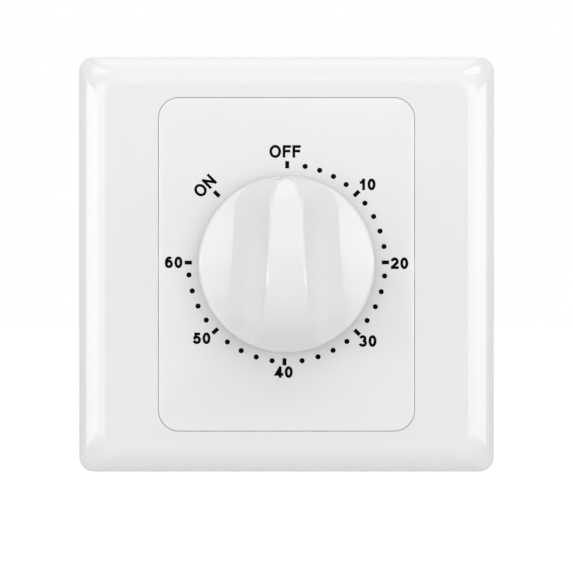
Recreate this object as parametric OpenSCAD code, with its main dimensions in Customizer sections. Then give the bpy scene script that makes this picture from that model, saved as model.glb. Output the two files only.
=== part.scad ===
// Wall-mounted countdown timer switch, 60 minutes, on a square 86 mm plate.
// Turning the knob clockwise winds the spring and closes the switch; the escapement lets it run back to OFF.
// Turning it anticlockwise by an eighth of a turn holds the switch ON.
// Every piece is drawn with x to the right, y up and z out of the wall, and then stood up so that +Z is up.
// The origin is the centre of the two wall screws, in the plane of the wall.

/* [Cover frame] */
// Side of the square cover frame
plate_w = 86; // [82:0.5:92]
// Height of the front face above the wall
plate_h = 9; // [8:0.25:11]
// Wall of the cover frame
plate_wall = 2.2; // [1.8:0.1:2.6]
// Corner radius of the frame, seen from the front
plate_corner_r = 3; // [2.6:0.1:5]
// Radius of the rolled front edge
roll_r = 6; // [4.5:0.25:6.5]
// Width of each latch tongue inside the frame
latch_w = 8; // [5:0.5:12]
// Thickness of each latch tongue
latch_t = 1.2; // [0.9:0.1:1.6]
// Distance of each latch from the middle of its side
latch_x = 20; // [14:0.5:26]
// Width of the notch in the lower edge for lifting the frame off
pry_w = 12; // [6:0.5:20]
// Height of that notch
pry_h = 1.4; // [0.8:0.1:2]

/* [Dial plate] */
// Width of the dial plate
dial_w = 53; // [51:0.5:56]
// Height of the dial plate
dial_l = 69; // [67:0.5:72]
// Corner radius of the dial plate
dial_corner_r = 4.3; // [3:0.1:6]
// Thickness of the dial plate
dial_t = 2; // [1.6:0.1:2.6]
// Thickness of the skirt round its back
skirt_t = 1.6; // [1.2:0.1:2]
// Gap all round between the dial plate and the frame
window_gap = 0.15; // [0.1:0.05:0.4]
// Radius of the hole for the shaft
dial_hole_r = 4.2; // [3.8:0.1:5]
// Radius of each boss that carries the movement
boss_r = 3; // [2.6:0.1:3.4]

/* [Mounting base] */
// Thickness of the mounting base
base_t = 4; // [3.4:0.1:4.6]
// Gap between the base and the walls of the frame
base_gap = 0.8; // [0.5:0.1:1.2]
// Distance between the two wall screws
screw_pitch = 60.3; // [58:0.1:63]
// Width of each wall screw slot
slot_w = 4.2; // [3.6:0.1:4.6]
// Length of each wall screw slot
slot_l = 8; // [6:0.5:9]
// Radius of the pocket for a wall screw head
pocket_r = 3.9; // [3.6:0.1:4.4]
// Depth of that pocket
pocket_d = 1.8; // [1:0.1:2.2]

/* [Rear tub] */
// Wall of the tub
tub_wall = 1.6; // [1.3:0.1:2]
// Corner radius of the tub
tub_corner_r = 2.4; // [2.2:0.1:4]
// Thickness of the flange on which the tub hangs
flange_t = 1.8; // [1.4:0.1:2.2]
// Gap between the flange and the skirt of the dial plate
flange_gap = 0.5; // [0.3:0.1:0.8]
// Reach of the flange past the tub at each side
flange_lip_x = 0.5; // [0.4:0.1:0.8]
// Reach of the flange past the tub at top and bottom
flange_lip_y = 5.4; // [5:0.1:6]
// Gap between the tub and the window in the base
tub_gap = 0.2; // [0.1:0.05:0.3]
// Distance from the rear plate of the movement to the back wall inside
rear_room = 9.6; // [9.2:0.1:12]

/* [Knob] */
// Diameter of the knob
knob_d = 36.3; // [34:0.1:38]
// Gap between the dial plate and the knob
knob_gap = 1; // [0.6:0.1:1.6]
// Height of the bar above the back of the knob
bar_h = 20; // [18:0.25:22]
// Width of the top of the bar at the middle of the knob
bar_w = 7.8; // [6.8:0.1:8.8]
// Narrowing of half the bar for each millimetre towards the pointer
bar_taper = 0.08; // [0.05:0.01:0.1]
// Widening of half the bar for each millimetre down its flanks, at the crest
bar_lean = 0.3; // [0.22:0.02:0.4]
// Radius of the hollow of each flank
flank_r = 32; // [28:1:40]
// Place of the rounded pointer above the middle of the knob
nose_at = 13.2; // [12.6:0.1:13.6]
// Place below the middle where the bar is highest and starts to fall away
fall_y = 3.5; // [2.5:0.25:5]
// Radius of the fall at the lower end of the bar
fall_r = 13.9; // [13.5:0.1:18]
// Radius of the slight crown from there to the pointer
crown_r = 52; // [45:1:70]
// Height of the crown of the base disc
dome_h = 8; // [7.2:0.1:9]
// Radius of the crown
dome_r = 80; // [64:1:110]
// Fillet round the rim of the knob
rim_fillet = 0.8; // [0.4:0.1:1.2]
// Wall of the knob
knob_wall = 2; // [1.6:0.1:2.4]
// Radius of the hub inside the knob
hub_r = 5.4; // [5:0.1:6]

/* [Shaft] */
// Radius of the shaft
shaft_r = 3; // [2.8:0.05:3.2]
// Radius of its rear journal
journal_r = 2; // [1.8:0.05:2.2]
// Distance of the flats from the axis of the shaft, as a part of its radius
flat_part = 0.7; // [0.6:0.02:0.8]
// Length of shaft inside the knob
shaft_in = 11; // [9:0.25:12]
// Running clearance of the shaft in its bushes
run_gap = 0.04; // [0.02:0.01:0.08]

/* [Movement frame] */
// Thickness of the two brass plates
mv_t = 1; // [0.8:0.1:1.2]
// Distance between the plates
mv_gap = 18; // [17.6:0.1:20]
// Gap between the plates and the tub
mv_side = 0.9; // [0.6:0.1:1.2]
// Radius of each pillar
pillar_r = 2; // [1.7:0.1:2.2]
// Inset of the pillars from the edges of the plates
pillar_in = 4; // [3.4:0.1:4.5]
// Inset of each movement screw from the wall of the tub
mv_screw_in = 4.3; // [4.1:0.1:4.9]
// Radius of the movement screws
mv_screw_r = 1.45; // [1.2:0.05:1.6]

/* [Gear train] */
// Teeth of the main wheel
main_n = 60; // [56:4:60]
// Teeth of the second wheel
second_n = 56; // [48:4:56]
// Teeth of the third wheel
third_n = 48; // [44:4:48]
// Leaves of each pinion
pinion_n = 8; // [8]
// Module of the main wheel
main_m = 0.42; // [0.4:0.005:0.43]
// Module of the second and third wheels
train_m = 0.32; // [0.3:0.005:0.33]
// Thickness of the main wheel
main_t = 1; // [0.8:0.1:1.1]
// Thickness of the other wheels
wheel_t = 0.8; // [0.6:0.1:1]
// Radius of the train arbors
arbor_r = 0.75; // [0.6:0.05:0.8]
// Radius of the pivots at their ends
pivot_r = 0.5; // [0.4:0.05:0.55]
// Direction of the second arbor from the shaft
second_dir = 235; // [233:0.5:237]
// Direction of the third arbor from the second
third_dir = 346.5; // [345:0.5:349]
// Direction of the escape arbor from the third
escape_dir = 13.5; // [11:0.5:16]

/* [Escapement] */
// Teeth of the escape wheel
escape_n = 18; // [15:1:20]
// Radius of the escape wheel
escape_r = 5; // [4.6:0.1:5.2]
// Distance from the escape arbor to the pallet arbor
pallet_dist = 9.4; // [9.2:0.1:9.8]
// Direction of the pallet arbor from the escape arbor
pallet_dir = 50; // [47:0.5:53]
// Gap between the balance wheel and the wall of the tub
balance_side = 1.6; // [1.2:0.1:2]
// Least gap between the balance wheel and the mainspring, wherever the wall puts it
balance_room = 0.5; // [0.3:0.1:0.8]
// Direction from the shaft in which that gap is measured
balance_turn = 42; // [40:0.5:44]
// Radius of the balance wheel
balance_r = 6.2; // [5.4:0.1:6.4]
// Clearance at the pallets, which never touch the wheel here
pallet_gap = 0.9; // [0.8:0.05:1.1]

/* [Springs] */
// Inner radius of the mainspring
main_in_r = 3.3; // [3.25:0.05:3.5]
// Outer radius of the mainspring
main_out_r = 8.4; // [7.6:0.1:8.6]
// Turns of the mainspring
main_turns = 4.5; // [3.5:1:4.5]
// Width of the mainspring
main_spring_w = 5; // [4:0.25:5.5]
// Thickness of the mainspring strip
main_strip = 0.4; // [0.3:0.05:0.5]
// Turns of the hairspring
hair_turns = 3.5; // [2.5:1:3.5]
// Outer radius of the hairspring
hair_out_r = 4.2; // [3.8:0.1:4.4]

/* [Switch] */
// Radius of the switch cam
cam_r = 7; // [6.6:0.1:7.4]
// Thickness of the cam
cam_t = 3.4; // [2.8:0.1:3.6]
// Clearance between the cam and its follower
cam_gap = 0.25; // [0.2:0.05:0.4]
// Thickness of the contact strips
strip_t = 0.4; // [0.3:0.05:0.5]
// Gap between the open contacts
contact_gap = 1; // [0.95:0.05:1.3]
// Distance of each terminal from the middle
terminal_x = 9; // [8.6:0.1:9.6]
// Width of each brass terminal
terminal_w = 8; // [7.4:0.1:8.4]
// Gap between the terminals and the fixed contact strip above them
strip_room = 2.05; // [1.8:0.05:2.4]
// Radius of the wire hole in a terminal
wire_r = 1.8; // [1.5:0.05:2]
// Radius of the wire hole in the back of the tub
entry_r = 2.2; // [2:0.05:2.5]
// Radius of the thread of a terminal screw
term_screw_r = 1.4; // [1.2:0.05:1.6]

/* [Hidden] */
$fn = 64;
// Names of all pieces

// Colours of the materials
WHITE = "whitesmoke";
GREY = "gainsboro";
BRASS = "goldenrod";
STEEL = "silver";
BLACK = "dimgray";
COPPER = "peru";

// Small working values
eps = 0.01;
big = 200;
touch = 0.02;

// Cover frame and base
frame_in = plate_w - 2 * plate_wall;
base_w = frame_in - 2 * base_gap;
window_w = dial_w + 2 * window_gap;
window_l = dial_l + 2 * window_gap;
dial_back = plate_h - dial_t;
// Height of the ledge under which the latches hook
ledge_z = 1.5;
latch_out = base_w / 2 + base_gap / 2;
latch_in = latch_out - latch_t;
barb = 0.9;

// Tub
skirt_w = dial_w - 2 * skirt_t;
skirt_l = dial_l - 2 * skirt_t;
flange_w = skirt_w - 2 * flange_gap;
flange_l = skirt_l - 2 * flange_gap;
tub_w = flange_w - 2 * flange_lip_x;
tub_l = flange_l - 2 * flange_lip_y;
tub_in_w = tub_w - 2 * tub_wall;
tub_in_l = tub_l - 2 * tub_wall;
flange_y = (tub_l + flange_l) / 4;
// Inset of the flange screws from the sides of the tub
flange_in = 7;
flange_x = tub_w / 2 - flange_in;

// Movement: the rear face of the front plate lies in the plane of the wall
mv_w = tub_in_w - 2 * mv_side;
mv_l = tub_in_l - 2 * mv_side;
rear_z = -mv_gap;
rear_back = rear_z - mv_t;
tub_floor = rear_back - rear_room;
tub_back = tub_floor - tub_wall;
pillar_x = mv_w / 2 - pillar_in;
pillar_y = mv_l / 2 - pillar_in;
mv_screw_x = tub_in_w / 2 - mv_screw_in;

// Knob
knob_r = knob_d / 2;
knob_back = plate_h + knob_gap;
shaft_front = knob_back + shaft_in;
flat_d = shaft_r * flat_part;
journal_flat = journal_r * flat_part;
rim_h = dome_h - (dome_r - sqrt(pow(dome_r, 2) - pow(knob_r, 2)));

// Stop: the lug and the pin leave 315 degrees free, with half a degree to spare at each end
stop_z = -0.3;
stop_t = 1;
stop_in = 6;
stop_out = 9;
stop_pin_r = 1;
stop_pin_at = 8;
stop_lug = 22 - asin(stop_pin_r / stop_pin_at);
stop_lug_dir = 90;
stop_pin_dir = stop_lug_dir + 67.5;

// Layers of the train, measured down from the front plate
main_z = stop_z - stop_t - 0.3;
second_z = main_z - main_t - 1.2;
third_z = second_z - wheel_t - 1.2;
escape_z = third_z - wheel_t - 1.4;
pinion_more = 0.4;
clutch_z = main_z - main_t;
collar_z = clutch_z - 0.8;
shoulder_z = -15.2;
spring_top = -9.4;
balance_z = -10;
hair_z = balance_z - 2.4;

// Places of the arbors
function polar(d, a) = [d * cos(a), d * sin(a)];
second_at = polar(main_m * (main_n + pinion_n) / 2, second_dir);
third_at = second_at + polar(train_m * (second_n + pinion_n) / 2, third_dir);
escape_at = third_at + polar(train_m * (third_n + pinion_n) / 2, escape_dir);
pallet_at = escape_at + polar(pallet_dist, pallet_dir);
balance_x = tub_in_w / 2 - balance_side - balance_r;
balance_far = main_out_r + balance_room + balance_r;
balance_at = [balance_x, (balance_far - balance_x * cos(balance_turn)) / sin(balance_turn)];
balance_dist = norm(balance_at - pallet_at);
balance_dir = atan2(balance_at[1] - pallet_at[1], balance_at[0] - pallet_at[0]);
post_at = [-main_out_r - 0.9, 0];
hair_at = balance_at + [0, hair_out_r + 0.6];

// Tooth forms: addendum, dedendum, then half widths at root, pitch circle and tip in parts of the pitch
WHEEL = [0.85, 1.15, 0.24, 0.20, 0.09];
LEAF = [0.65, 1.2, 0.18, 0.19, 0.08];

// Turn of a pinion so that a gap of it faces the tooth of the wheel on the line between the two
function facing(dir) = dir + 180 + 180 / pinion_n;
// Turn of a wheel so that one of its teeth lies on that line
function tooth_at(dir) = dir;

function tooth(n, m, f, i, turn) = let(p = 360 / n, r = m * n / 2, a = turn + i * p)
    [polar(r - f[1] * m, a - f[2] * p), polar(r, a - f[3] * p), polar(r + f[0] * m, a - f[4] * p),
     polar(r + f[0] * m, a + f[4] * p), polar(r, a + f[3] * p), polar(r - f[1] * m, a + f[2] * p)];
function teeth(n, m, f, turn) = [for (i = [0 : n - 1]) each tooth(n, m, f, i, turn)];

// A flat spiral strip between two radii
function spiral_at(r0, r1, turns, a0, t) = polar(r0 + (r1 - r0) * t, a0 + 360 * turns * t);
function spiral(r0, r1, turns, a0, w, steps) = concat(
    [for (i = [0 : steps]) spiral_at(r0, r1, turns, a0, i / steps)],
    [for (i = [steps : -1 : 0]) spiral_at(r0 + w, r1 + w, turns, a0, i / steps)]);
echo(mainspring_gap = (main_out_r - main_in_r) / main_turns - main_strip);
hair_in_r = 1.5;
hair_strip = 0.2;
echo(hairspring_gap = (hair_out_r - hair_in_r) / hair_turns - hair_strip);

// Switch
cam_top = rear_back - 1.9;
cam_back = cam_top - cam_t;
blade_mid = (cam_top + cam_back) / 2;
nose_y = -cam_r - cam_gap;
pad_h = 2.6;
blade_top = nose_y - pad_h;
blade_bottom = blade_top - strip_t;
rivet_h = 0.8;
rivet_r = 1.5;
fixed_top = blade_bottom - 2 * rivet_h - contact_gap;
block_gap = 0.3;
block_bottom = -tub_in_l / 2 + block_gap;
term_head_h = 1.6;
term_bottom = block_bottom + term_head_h + 0.2;
term_top = fixed_top - strip_t - strip_room;
terminal_h = term_top - term_bottom;
term_y = term_bottom + terminal_h / 2;
block_floor = 1;
block_top_z = tub_floor + 7.4;
term_back = tub_floor + block_floor;
term_front = block_top_z - 0.2;
block_w = tub_in_w - 2 * block_gap;
block_screw_x = block_w / 2 - 3.6;
strip_x = terminal_x + terminal_w / 2;
blade_root = -strip_x + 0.2;
contact_x = 9;
tab_end = -strip_x + 4;

// Stands a piece up: y becomes Z and z becomes -Y
module stand() rotate([90, 0, 0]) children();

// A flat piece between two heights
module slab(z0, z1) translate([0, 0, z0]) linear_extrude(z1 - z0) children();
// A round bar along z between two heights
module rod(r, z0, z1, at = [0, 0]) translate([at[0], at[1], z0]) cylinder(r = r, h = z1 - z0);
module rounded(w, l, r) {
    square([w - 2 * r, l], center = true);
    square([w, l - 2 * r], center = true);
    for (x = [-1, 1], y = [-1, 1]) translate([x * (w / 2 - r), y * (l / 2 - r)]) circle(r);
}
// A profile with a flat top and two rolled edges
module pillow(w, h, r) {
    translate([-w / 2, -big]) square([w, big + h - r]);
    translate([-w / 2 + r, 0]) square([w - 2 * r, h]);
    for (x = [-1, 1]) translate([x * (w / 2 - r), h - r]) circle(r);
}
// A square cover with rolled edges on all four sides
module rolled(w, h, r, corner, z0) intersection() {
    slab(z0, h + 1) rounded(w, w, corner);
    translate([0, big / 2, 0]) rotate([90, 0, 0]) linear_extrude(big) pillow(w, h, r);
    translate([-big / 2, 0, 0]) rotate([90, 0, 90]) linear_extrude(big) pillow(w, h, r);
}
// A screw along -z with a round head at z0; the slot is a cross recess
module pan_screw(at, z0, head_r, head_h, r, l) difference() {
    union() {
        rod(head_r, z0, z0 + head_h, at);
        rod(r, z0 - l, z0 + eps, at);
    }
    for (a = [0, 90]) translate([at[0], at[1], z0 + head_h]) rotate(a)
        cube([1.3 * head_r, 0.22 * head_r, head_h], center = true);
}
// A countersunk screw along -z with its face at z0
module flat_screw(at, z0, head_r, r, l) difference() {
    union() {
        translate([at[0], at[1], z0 - head_r + r]) cylinder(r1 = r, r2 = head_r, h = head_r - r);
        rod(r, z0 - l, z0 - head_r + r + eps, at);
    }
    for (a = [0, 90]) translate([at[0], at[1], z0]) rotate(a)
        cube([1.2 * head_r, 0.24 * head_r, 1.2], center = true);
}
// The hole that such a screw sits in
module flat_hole(at, z0, head_r, r, l) {
    translate([at[0], at[1], z0 - head_r + r]) cylinder(r1 = r, r2 = head_r + eps, h = head_r - r + eps);
    rod(r, z0 - l, z0, at);
}

flange_screw_r = 1.3;
flange_head_r = 2.5;
flange_screw_l = flange_t + base_t - 0.6;
module at_flange() for (x = [-1, 1], y = [-1, 1]) let(at = [x * flange_x, y * flange_y]) {
    $at = at;
    children();
}

// Frame and base
module outer_frame() color(WHITE) stand() {
    difference() {
        rolled(plate_w, plate_h, roll_r, plate_corner_r, 0);
        rolled(frame_in, plate_h - plate_wall, roll_r - plate_wall, 0.8, -1);
        slab(-1, plate_h + 1) rounded(window_w, window_l, dial_corner_r + window_gap);
        translate([0, -plate_w / 2, 0]) cube([pry_w, 3 * plate_wall, 2 * pry_h], center = true);
    }
    for (s = [-1, 1], x = [-1, 1]) mirror([0, s > 0 ? 0 : 1, 0])
        translate([x * latch_x - latch_w / 2, 0, 0]) latch();
}
module latch() {
    translate([0, latch_in, 0.4]) cube([latch_w, latch_t, plate_h - plate_wall / 2 - 0.4 - latch_t]);
    translate([0, latch_in + eps, 0.4]) rotate([90, 0, 90]) linear_extrude(latch_w)
        polygon([[0, 0], [0, ledge_z - 0.5], [-barb, ledge_z - 0.5], [-barb, ledge_z - 0.8]]);
}

module mounting_base() color(WHITE) stand() difference() {
    slab(0, base_t) rounded(base_w, base_w, plate_corner_r);
    slab(-1, base_t + 1) rounded(tub_w + 2 * tub_gap, tub_l + 2 * tub_gap, tub_corner_r + tub_gap);
    for (s = [-1, 1]) translate([s * screw_pitch / 2, 0, 0]) {
        slab(-1, base_t + 1) slot2d(slot_w / 2);
        slab(base_t - pocket_d, base_t + 1) slot2d(pocket_r);
    }
    at_flange() rod(flange_screw_r, -1, base_t + 1, $at);
    for (s = [-1, 1], x = [-1, 1]) mirror([0, s > 0 ? 0 : 1, 0]) translate([x * latch_x, 0, 0]) {
        translate([-latch_w / 2 - 0.5, latch_in - 0.2, -1]) cube([latch_w + 1, big, base_t + 2]);
        translate([-latch_w / 2 - 0.5, latch_in - barb - 0.3, -1]) cube([latch_w + 1, big, ledge_z + 1]);
    }
    for (s = [-1, 1]) mirror([0, s > 0 ? 0 : 1, 0]) translate([-leg_w / 2 - 0.3, leg_y - skirt_t - 0.15, -1]) {
        cube([leg_w + 0.6, skirt_t + 0.3, base_t + 2]);
        cube([leg_w + 0.6, skirt_t + leg_barb + 0.3, ledge_z + 1]);
    }
    // Recesses under the base that keep its wall even
    for (x = [-1, 1], y = [-1, 1]) translate([x * rib_x, y * rib_y, 0])
        slab(-1, base_t - 1.8) rounded(rib_w, rib_l, 1);
}
// A slot along x, as wide as twice r
module slot2d(r) {
    square([slot_l - slot_w, 2 * r], center = true);
    for (s = [-1, 1]) translate([s * (slot_l - slot_w) / 2, 0]) circle(r);
}
leg_w = 9;
leg_y = dial_l / 2;
leg_barb = 0.8;
// Lands that stay beside and at the ends of the recesses
rib_side = 5;
rib_end = 8;
rib_w = base_w / 2 - dial_w / 2 - rib_side;
rib_l = base_w / 2 - latch_w - rib_end;
rib_x = (base_w / 2 + dial_w / 2) / 2;
rib_y = base_w / 4;

module dial_plate() color(WHITE) stand() difference() {
    union() {
        slab(dial_back, plate_h) rounded(dial_w, dial_l, dial_corner_r);
        difference() {
            slab(base_t, dial_back + eps) rounded(dial_w, dial_l, dial_corner_r);
            slab(base_t - 1, dial_back) rounded(skirt_w, skirt_l, dial_corner_r - skirt_t);
        }
        for (s = [-1, 1]) {
            rod(boss_r, mv_t, dial_back + eps, [s * mv_screw_x, 0]);
            mirror([0, s > 0 ? 0 : 1, 0]) dial_leg();
        }
        rod(dial_hole_r + 1.6, dial_back - 1.2, dial_back + eps);
    }
    rod(dial_hole_r, dial_back - 2, plate_h + 1);
    for (s = [-1, 1]) rod(mv_screw_r, 0, dial_back - 0.6, [s * mv_screw_x, 0]);
}
// A leg of the skirt that hooks under a ledge in the base
module dial_leg() {
    translate([-leg_w / 2, leg_y - skirt_t, 0.4]) cube([leg_w, skirt_t, base_t]);
    translate([-leg_w / 2, leg_y - eps, 0.4]) rotate([90, 0, 90]) linear_extrude(leg_w)
        polygon([[0, 0], [leg_barb, ledge_z - 0.8], [leg_barb, ledge_z - 0.5], [0, ledge_z - 0.5]]);
}

// Tub
module rear_tub() color(GREY) stand() difference() {
    union() {
        slab(tub_back, base_t + eps) rounded(tub_w, tub_l, tub_corner_r);
        slab(base_t, base_t + flange_t) rounded(flange_w, flange_l, tub_corner_r);
    }
    slab(tub_floor, base_t + flange_t + 1) rounded(tub_in_w, tub_in_l, tub_corner_r - tub_wall);
    at_flange() flat_hole($at, base_t + flange_t, flange_head_r, flange_screw_r, flange_t + 1);
    for (s = [-1, 1]) {
        rod(entry_r, tub_back - 1, tub_floor + 1, [s * terminal_x, term_y]);
        translate([s * terminal_x, -tub_l / 2 - 1, (term_back + term_front) / 2]) rotate([-90, 0, 0])
            cylinder(r = 2.9, h = tub_wall + 2);
        mirror([0, 0, 1]) flat_hole([s * block_screw_x, term_y], -tub_back, 2.4, 1.2, 4);
    }
}
module flange_screws() color(STEEL) stand()
    at_flange() flat_screw($at, base_t + flange_t, flange_head_r, flange_screw_r - touch, flange_screw_l);

// Knob
module knob() color(WHITE) stand() translate([0, 0, knob_back]) difference() {
    union() {
        rotate_extrude() intersection() {
            translate([0, dome_h - dome_r]) circle(dome_r, $fn = 200);
            union() {
                square([knob_r - rim_fillet, dome_h]);
                square([knob_r, rim_h - rim_fillet]);
                translate([knob_r - rim_fillet, rim_h - rim_fillet]) circle(rim_fillet);
            }
            square([knob_r, dome_h]);
        }
        bar();
    }
    difference() {
        union() {
            rod(knob_r - knob_wall, -1, rim_h - knob_wall);
            intersection() {
                bar_body(bar_h - knob_wall, bar_w / 2 - 0.55 * knob_wall);
                translate([0, 0, -1]) cylinder(r = knob_r - 1.6 * knob_wall, h = big);
                bar_length(bar_h - knob_wall);
            }
        }
        rod(hub_r, -2, bar_h);
        for (a = [45, 135]) rotate(a) translate([-knob_r, -0.6, 0]) cube([knob_d, 1.2, rim_h]);
    }
    rod(hub_r + 1, -1, 0.4);
    difference() {
        rod(shaft_r + 2 * run_gap, -1, shaft_in + 0.5);
        translate([-big / 2, flat_d + 2 * run_gap + clip_t, 0.4]) cube([big, big, big]);
    }
}
// The grip: two hollow flanks, a rounded pointer and a top that falls away at the lower end
module bar() intersection() {
    bar_body(bar_h, bar_w / 2);
    cylinder(r = knob_r - 0.25, h = big);
    bar_length(bar_h);
}
// Everything under the line of the top, seen from the side
module bar_length(h) rotate([90, 0, 90]) translate([0, 0, -big / 2]) linear_extrude(big) {
    intersection() {
        translate([-fall_y, h - crown_r]) circle(crown_r, $fn = 720);
        translate([-fall_y, 0]) square([knob_d, h]);
    }
    intersection() {
        translate([-fall_y, h - fall_r]) circle(fall_r, $fn = 240);
        translate([-fall_y - 0.99 * fall_r, 0]) square([0.99 * fall_r + eps, h]);
    }
}
// The flanks are parts of two large cylinders whose axes follow the taper
module bar_body(h, half) {
    nose_r = half - bar_taper * nose_at - 0.05;
    hollow = polar(flank_r, atan(bar_lean));
    difference() {
        translate([-big / 2, nose_at - big, -1]) cube([big, big, h + 1]);
        for (s = [-1, 1]) translate([s * (half + hollow[0]), 0, h + hollow[1]]) rotate(s * atan(bar_taper))
            rotate([90, 0, 0]) translate([0, 0, -big]) cylinder(r = flank_r, h = 2 * big);
    }
    translate([0, nose_at, -1]) rotate_extrude() difference() {
        square([nose_r + hollow[0], h + 1]);
        translate([nose_r + hollow[0], h + 1 + hollow[1]]) circle(flank_r);
    }
}
clip_t = 0.3;
module knob_clip() color(STEEL) stand() translate([0, 0, knob_back])
    translate([-1.6, flat_d + run_gap, 0.6]) cube([3.2, clip_t, shaft_in - 1.2]);

// Shaft and what turns with it
module main_shaft() color(STEEL) stand() difference() {
    union() {
        rod(shaft_r, shoulder_z, shaft_front);
        rod(journal_r, cam_back - 0.4, shoulder_z + eps);
    }
    translate([-big / 2, flat_d, knob_back]) cube(big);
    translate([-big / 2, journal_flat, cam_top - big]) cube(big);
}
module stop_plate() color(STEEL) stand() difference() {
    slab(stop_z - stop_t, stop_z) {
        circle(stop_in);
        intersection() {
            circle(stop_out);
            rotate(stop_lug_dir)
                polygon([[0, 0], polar(2 * stop_out, -stop_lug), polar(2 * stop_out, stop_lug)]);
        }
    }
    rod(shaft_r, -big, big);
}
module stop_pin() color(STEEL) stand() rod(stop_pin_r, stop_z - stop_t, mv_t, polar(stop_pin_at, stop_pin_dir));
main_hole_r = 2.4;
module main_wheel() color(BRASS) stand() difference() {
    slab(main_z - main_t, main_z) polygon(teeth(main_n, main_m, WHEEL, tooth_at(second_dir)));
    rod(shaft_r, -big, big);
    for (i = [0 : 4]) rod(main_hole_r, -big, big, polar(main_m * main_n * 0.345, 36 + 72 * i));
}
clutch_in = 1;
clutch_out = 2.6;
module clutch_spring() color(STEEL) stand() difference() {
    translate([0, 0, collar_z])
        cylinder(r1 = shaft_r + clutch_in, r2 = shaft_r + clutch_out, h = clutch_z - collar_z);
    translate([0, 0, collar_z + 0.3])
        cylinder(r1 = shaft_r + clutch_in, r2 = shaft_r + clutch_out, h = clutch_z - collar_z);
    rod(shaft_r, -big, big);
}
module clutch_collar() color(BRASS) stand() difference() {
    rod(shaft_r + 1.4, collar_z - 1.6, collar_z);
    rod(shaft_r, -big, big);
}
module switch_cam() color(WHITE) stand() difference() {
    union() {
        rod(cam_r, cam_back, cam_top);
        rod(journal_r + 1.6, cam_top - eps, rear_back - 0.6);
    }
    // Notch into which the follower drops at OFF
    slab(cam_back - 1, cam_top + eps) translate([0, -cam_r]) rotate(45) square(3.2, center = true);
    difference() {
        rod(journal_r, -big, big);
        translate([-big / 2, journal_flat, cam_top - big]) cube(big);
    }
}

// Movement frame
module plate_outline() rounded(mv_w, mv_l, 2);
module pivots(r) for (at = [second_at, third_at, escape_at, pallet_at, balance_at]) translate(at) circle(r);
module at_pillars() for (x = [-1, 1], y = [-1, 1]) translate([x * pillar_x, y * pillar_y]) children();
pillar_tap = 1.1;
bush_r = shaft_r + 1.2;
rear_bush_r = journal_r + 1.2;
module front_plate() color(BRASS) stand() slab(0, mv_t) difference() {
    plate_outline();
    circle(bush_r);
    pivots(pivot_r + run_gap);
    at_pillars() circle(pillar_tap);
    translate(polar(stop_pin_at, stop_pin_dir)) circle(stop_pin_r);
    for (s = [-1, 1]) translate([s * mv_screw_x, 0]) circle(mv_screw_r + touch);
}
module rear_plate() color(BRASS) stand() slab(rear_back, rear_z) difference() {
    plate_outline();
    circle(rear_bush_r);
    pivots(pivot_r + run_gap);
    at_pillars() circle(pillar_tap);
    translate(post_at) circle(0.7);
    translate(hair_at) circle(0.4);
    for (s = [-1, 1]) translate([s * mv_screw_x, 0]) {
        circle(2 * mv_screw_r + 0.4);
        translate([s * 3, 0]) square([6, 4 * mv_screw_r + 0.8], center = true);
    }
}
module pillars() color(STEEL) stand() for (x = [-1, 1], y = [-1, 1]) let(at = [x * pillar_x, y * pillar_y])
    difference() {
        union() {
            rod(pillar_r, rear_z, 0, at);
            rod(pillar_tap, -eps, mv_t, at);
        }
        rod(0.8, rear_z - 1, rear_z + 6, at);
    }
module pillar_screws() color(STEEL) stand() mirror([0, 0, 1])
    for (x = [-1, 1], y = [-1, 1])
        pan_screw([x * pillar_x, y * pillar_y], -rear_back, 1.7, 1.1, 0.8 - touch, mv_t + 5);
module movement_screws() color(STEEL) stand() mirror([0, 0, 1])
    for (s = [-1, 1])
        pan_screw([s * mv_screw_x, 0], 0, 2 * mv_screw_r - 0.3, 1.6, mv_screw_r - touch, mv_t + 4);
module front_bush() color(BRASS) stand() difference() {
    union() {
        rod(bush_r, 0, mv_t + 0.6);
        rod(bush_r + 1, stop_z + 0.05, 0);
    }
    rod(shaft_r + run_gap, -big, big);
}
module rear_bush() color(BRASS) stand() difference() {
    union() {
        rod(rear_bush_r, rear_back - 0.5, rear_z);
        rod(rear_bush_r + 0.8, rear_z, rear_z + 0.6);
    }
    rod(journal_r + run_gap, -big, big);
}
module mainspring() color(STEEL) stand() slab(spring_top - main_spring_w, spring_top) {
    polygon(spiral(main_in_r, main_out_r - main_strip, main_turns, 0, main_strip, round(24 * main_turns)));
}
module spring_post() color(STEEL) stand() {
    rod(0.7, rear_back, spring_top + 0.6, post_at);
}

// Gear train
module arbor(at, r = arbor_r) {
    rod(r, rear_z + 0.15, -0.15, at);
    rod(pivot_r, rear_back, mv_t, at);
}
module leaves(at, m, turn, z1, t) translate([at[0], at[1], 0])
    slab(z1 - t - pinion_more, z1 + pinion_more) polygon(teeth(pinion_n, m, LEAF, turn));
module wheel(at, n, m, turn, z1, holes) translate([at[0], at[1], 0]) difference() {
    slab(z1 - wheel_t, z1) polygon(teeth(n, m, WHEEL, turn));
    rod(arbor_r, -big, big);
    for (i = [0 : holes - 1]) rod(m * n * 0.12, -big, big, polar(m * n * 0.29, i * 360 / holes));
}
module second_pinion() color(STEEL) stand() {
    arbor(second_at);
    leaves(second_at, main_m, facing(second_dir), main_z, main_t);
}
module second_wheel() color(BRASS) stand()
    wheel(second_at, second_n, train_m, tooth_at(third_dir), second_z, 5);
module third_pinion() color(STEEL) stand() {
    arbor(third_at);
    leaves(third_at, train_m, facing(third_dir), second_z, wheel_t);
}
module third_wheel() color(GREY) stand() wheel(third_at, third_n, train_m, tooth_at(escape_dir), third_z, 4);
module escape_pinion() color(STEEL) stand() {
    arbor(escape_at);
    leaves(escape_at, train_m, facing(escape_dir), third_z, wheel_t);
}
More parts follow.
